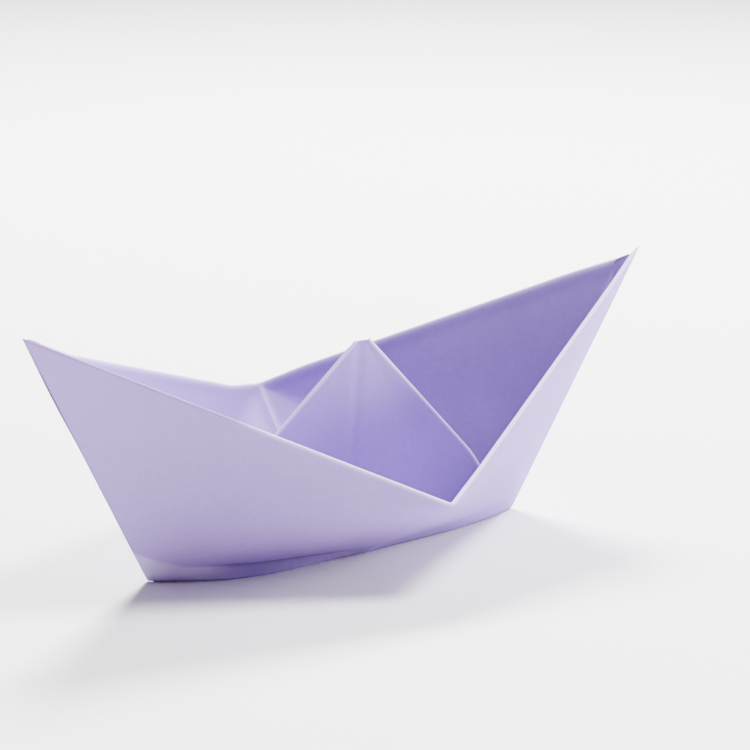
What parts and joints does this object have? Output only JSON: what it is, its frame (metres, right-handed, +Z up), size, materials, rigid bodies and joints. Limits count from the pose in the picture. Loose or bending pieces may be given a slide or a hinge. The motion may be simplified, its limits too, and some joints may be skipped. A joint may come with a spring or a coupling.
{
  "type": "folded paper boat",
  "caption": "Classic folded paper boat: pointed bow and stern, flared hull sides and a triangular peak standing along the keel.",
  "frame": {"origin": "on the table, midway between the two tips and midway between the two gunwales", "axes": "+X towards the bow tip, +Y to port, +Z up from the table"},
  "size_m": [0.173, 0.0882, 0.0649],
  "materials": {
    "paper": "matte lilac coloured paper"
  },
  "bodies": {
    "bottom": {"port_bow_bottom_flap_top": "paper", "port_bow_bottom_flap_under": "paper", "port_bow_bottom_skin": "paper", "port_stern_bottom_flap_top": "paper", "port_stern_bottom_flap_under": "paper", "port_stern_bottom_skin": "paper", "starboard_bow_bottom_skin": "paper", "starboard_stern_bottom_skin": "paper"},
    "peak": {"port_bow_peak_flap_top": "paper", "port_bow_peak_flap_under": "paper", "port_bow_peak_skin": "paper", "port_stern_peak_flap_top": "paper", "port_stern_peak_flap_under": "paper", "port_stern_peak_skin": "paper", "starboard_bow_peak_skin": "paper", "starboard_stern_peak_skin": "paper"},
    "starboard_bilge": {"starboard_bow_bilge_cuff": "paper", "starboard_bow_bilge_skin": "paper", "starboard_stern_bilge_cuff": "paper", "starboard_stern_bilge_skin": "paper"},
    "port_bilge": {"port_bow_bilge_cuff": "paper", "port_bow_bilge_flap_top": "paper", "port_bow_bilge_flap_under": "paper", "port_bow_bilge_skin": "paper", "port_stern_bilge_cuff": "paper", "port_stern_bilge_flap_top": "paper", "port_stern_bilge_flap_under": "paper", "port_stern_bilge_skin": "paper"},
    "starboard_bow": {"starboard_bow_quarter_cuff": "paper", "starboard_bow_quarter_skin": "paper", "starboard_bow_quarter_tuck": "paper"},
    "starboard_stern": {"starboard_stern_quarter_cuff": "paper", "starboard_stern_quarter_skin": "paper", "starboard_stern_quarter_tuck": "paper"},
    "port_bow": {"port_bow_quarter_cuff": "paper", "port_bow_quarter_flap_top": "paper", "port_bow_quarter_flap_under": "paper", "port_bow_quarter_skin": "paper", "port_bow_quarter_tuck": "paper"},
    "port_stern": {"port_stern_quarter_cuff": "paper", "port_stern_quarter_flap_top": "paper", "port_stern_quarter_flap_under": "paper", "port_stern_quarter_skin": "paper", "port_stern_quarter_tuck": "paper"}
  },
  "joints": [
    {"name": "peak_lean", "type": "hinge", "parent": "bottom", "child": "peak", "pos_m": [0, 0.00242, 0], "axis": [1, 0, 0], "range_deg": [-6, 10], "stiffness_Nm_per_rad": 0.01},
    {"name": "starboard_bilge_fold", "type": "hinge", "parent": "bottom", "child": "starboard_bilge", "pos_m": [0, 0.00242, 0], "axis": [-1, 0, 0], "range_deg": [0, 20], "stiffness_Nm_per_rad": 0.01},
    {"name": "port_bilge_fold", "type": "hinge", "parent": "bottom", "child": "port_bilge", "pos_m": [0, 0.00242, 0], "axis": [1, 0, 0], "range_deg": [0, 20], "stiffness_Nm_per_rad": 0.01},
    {"name": "starboard_bow_fold", "type": "hinge", "parent": "starboard_bilge", "child": "starboard_bow", "pos_m": [0.0525, 0.00243, 0], "axis": [0.7071, 0.63, -0.321], "range_deg": [0, 20.8], "stiffness_Nm_per_rad": 0.005},
    {"name": "starboard_stern_fold", "type": "hinge", "parent": "starboard_bilge", "child": "starboard_stern", "pos_m": [-0.0525, 0.00243, 0], "axis": [0.7071, -0.63, 0.321], "range_deg": [0, 20.8], "stiffness_Nm_per_rad": 0.005},
    {"name": "port_bow_fold", "type": "hinge", "parent": "port_bilge", "child": "port_bow", "pos_m": [0.0525, 0.00243, 0], "axis": [-0.7071, 0.5647, 0.4255], "range_deg": [0, 20.8], "stiffness_Nm_per_rad": 0.005},
    {"name": "port_stern_fold", "type": "hinge", "parent": "port_bilge", "child": "port_stern", "pos_m": [-0.0525, 0.00243, 0], "axis": [-0.7071, -0.5647, -0.4255], "range_deg": [0, 20.8], "stiffness_Nm_per_rad": 0.005}
  ],
  "couplings": [
    {"joint": "port_bilge_fold", "follows": "starboard_bilge_fold", "ratio": 1},
    {"joint": "starboard_bow_fold", "follows": "starboard_bilge_fold", "ratio": 1.04},
    {"joint": "starboard_stern_fold", "follows": "starboard_bilge_fold", "ratio": 1.04},
    {"joint": "port_bow_fold", "follows": "starboard_bilge_fold", "ratio": 1.04},
    {"joint": "port_stern_fold", "follows": "starboard_bilge_fold", "ratio": 1.04}
  ]
}
